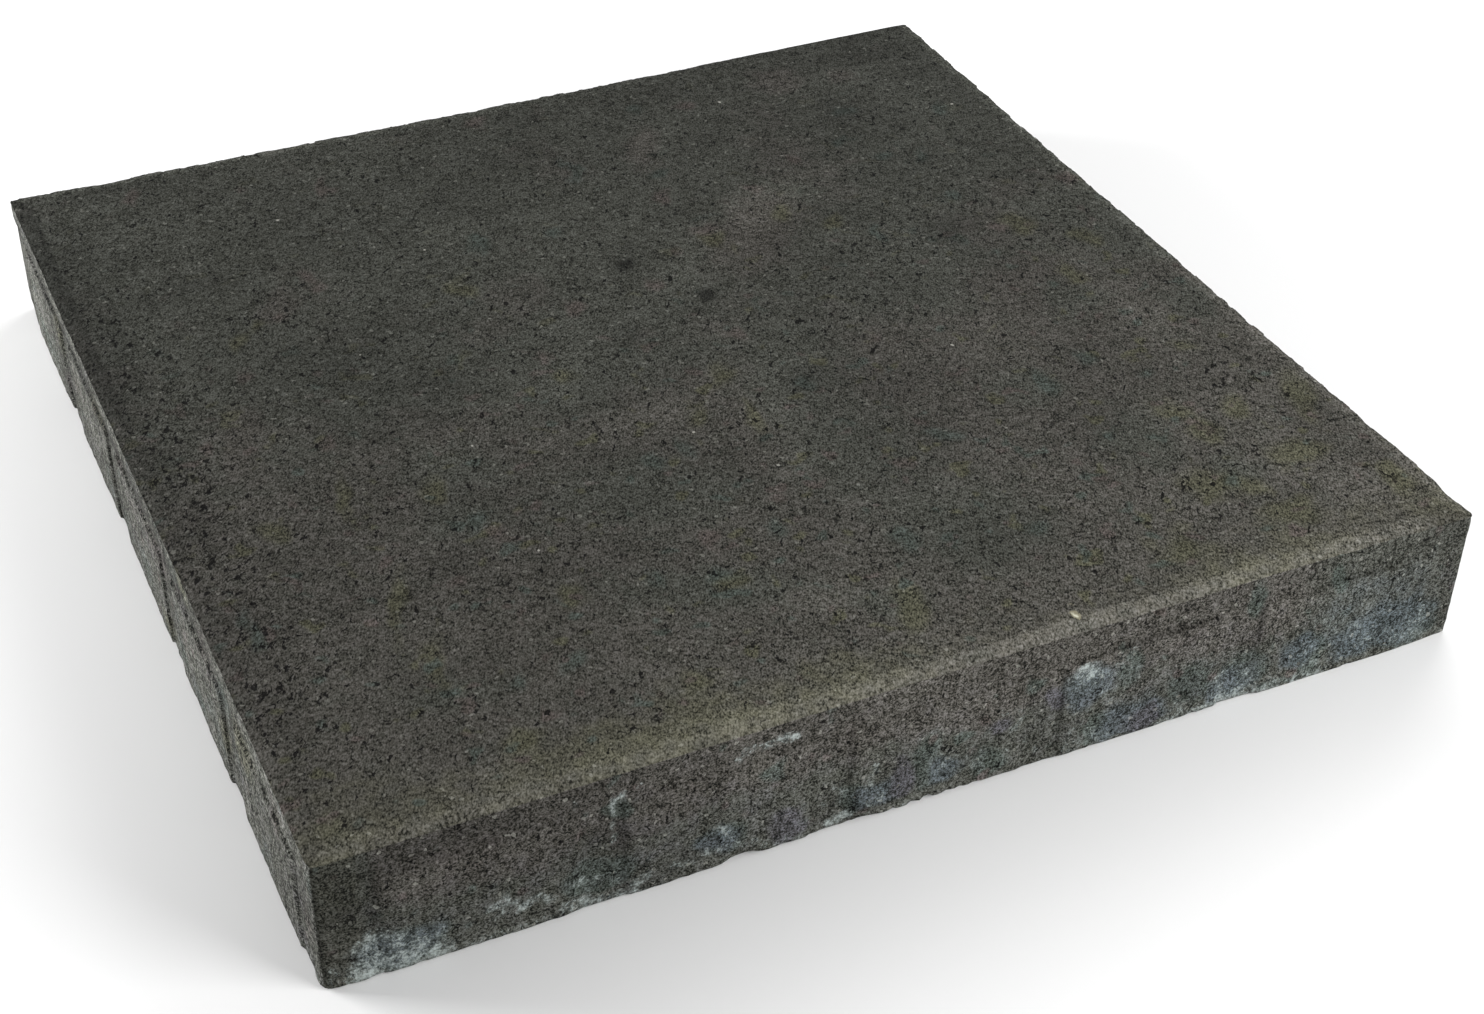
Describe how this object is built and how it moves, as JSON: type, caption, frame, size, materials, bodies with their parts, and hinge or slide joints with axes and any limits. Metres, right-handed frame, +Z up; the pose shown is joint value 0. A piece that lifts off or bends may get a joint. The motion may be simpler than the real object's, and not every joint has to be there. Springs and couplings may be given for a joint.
{
  "type": "concrete paving slab",
  "caption": "Flat square paving slab cast in plain dark concrete, with a slightly worn top edge and shallow spacer panels down its sides that set the joint to the next slab.",
  "frame": {"origin": "centre of the bed face, the plane that the slab lies on", "axes": "+Z up through the thickness, out of the wearing face; X and Y run along the sides, with -Y out of the front side"},
  "size_m": [0.4, 0.4, 0.05],
  "materials": {
    "concrete": "matte"
  },
  "bodies": {
    "root": {"slab": "concrete"}
  },
  "joints": []
}
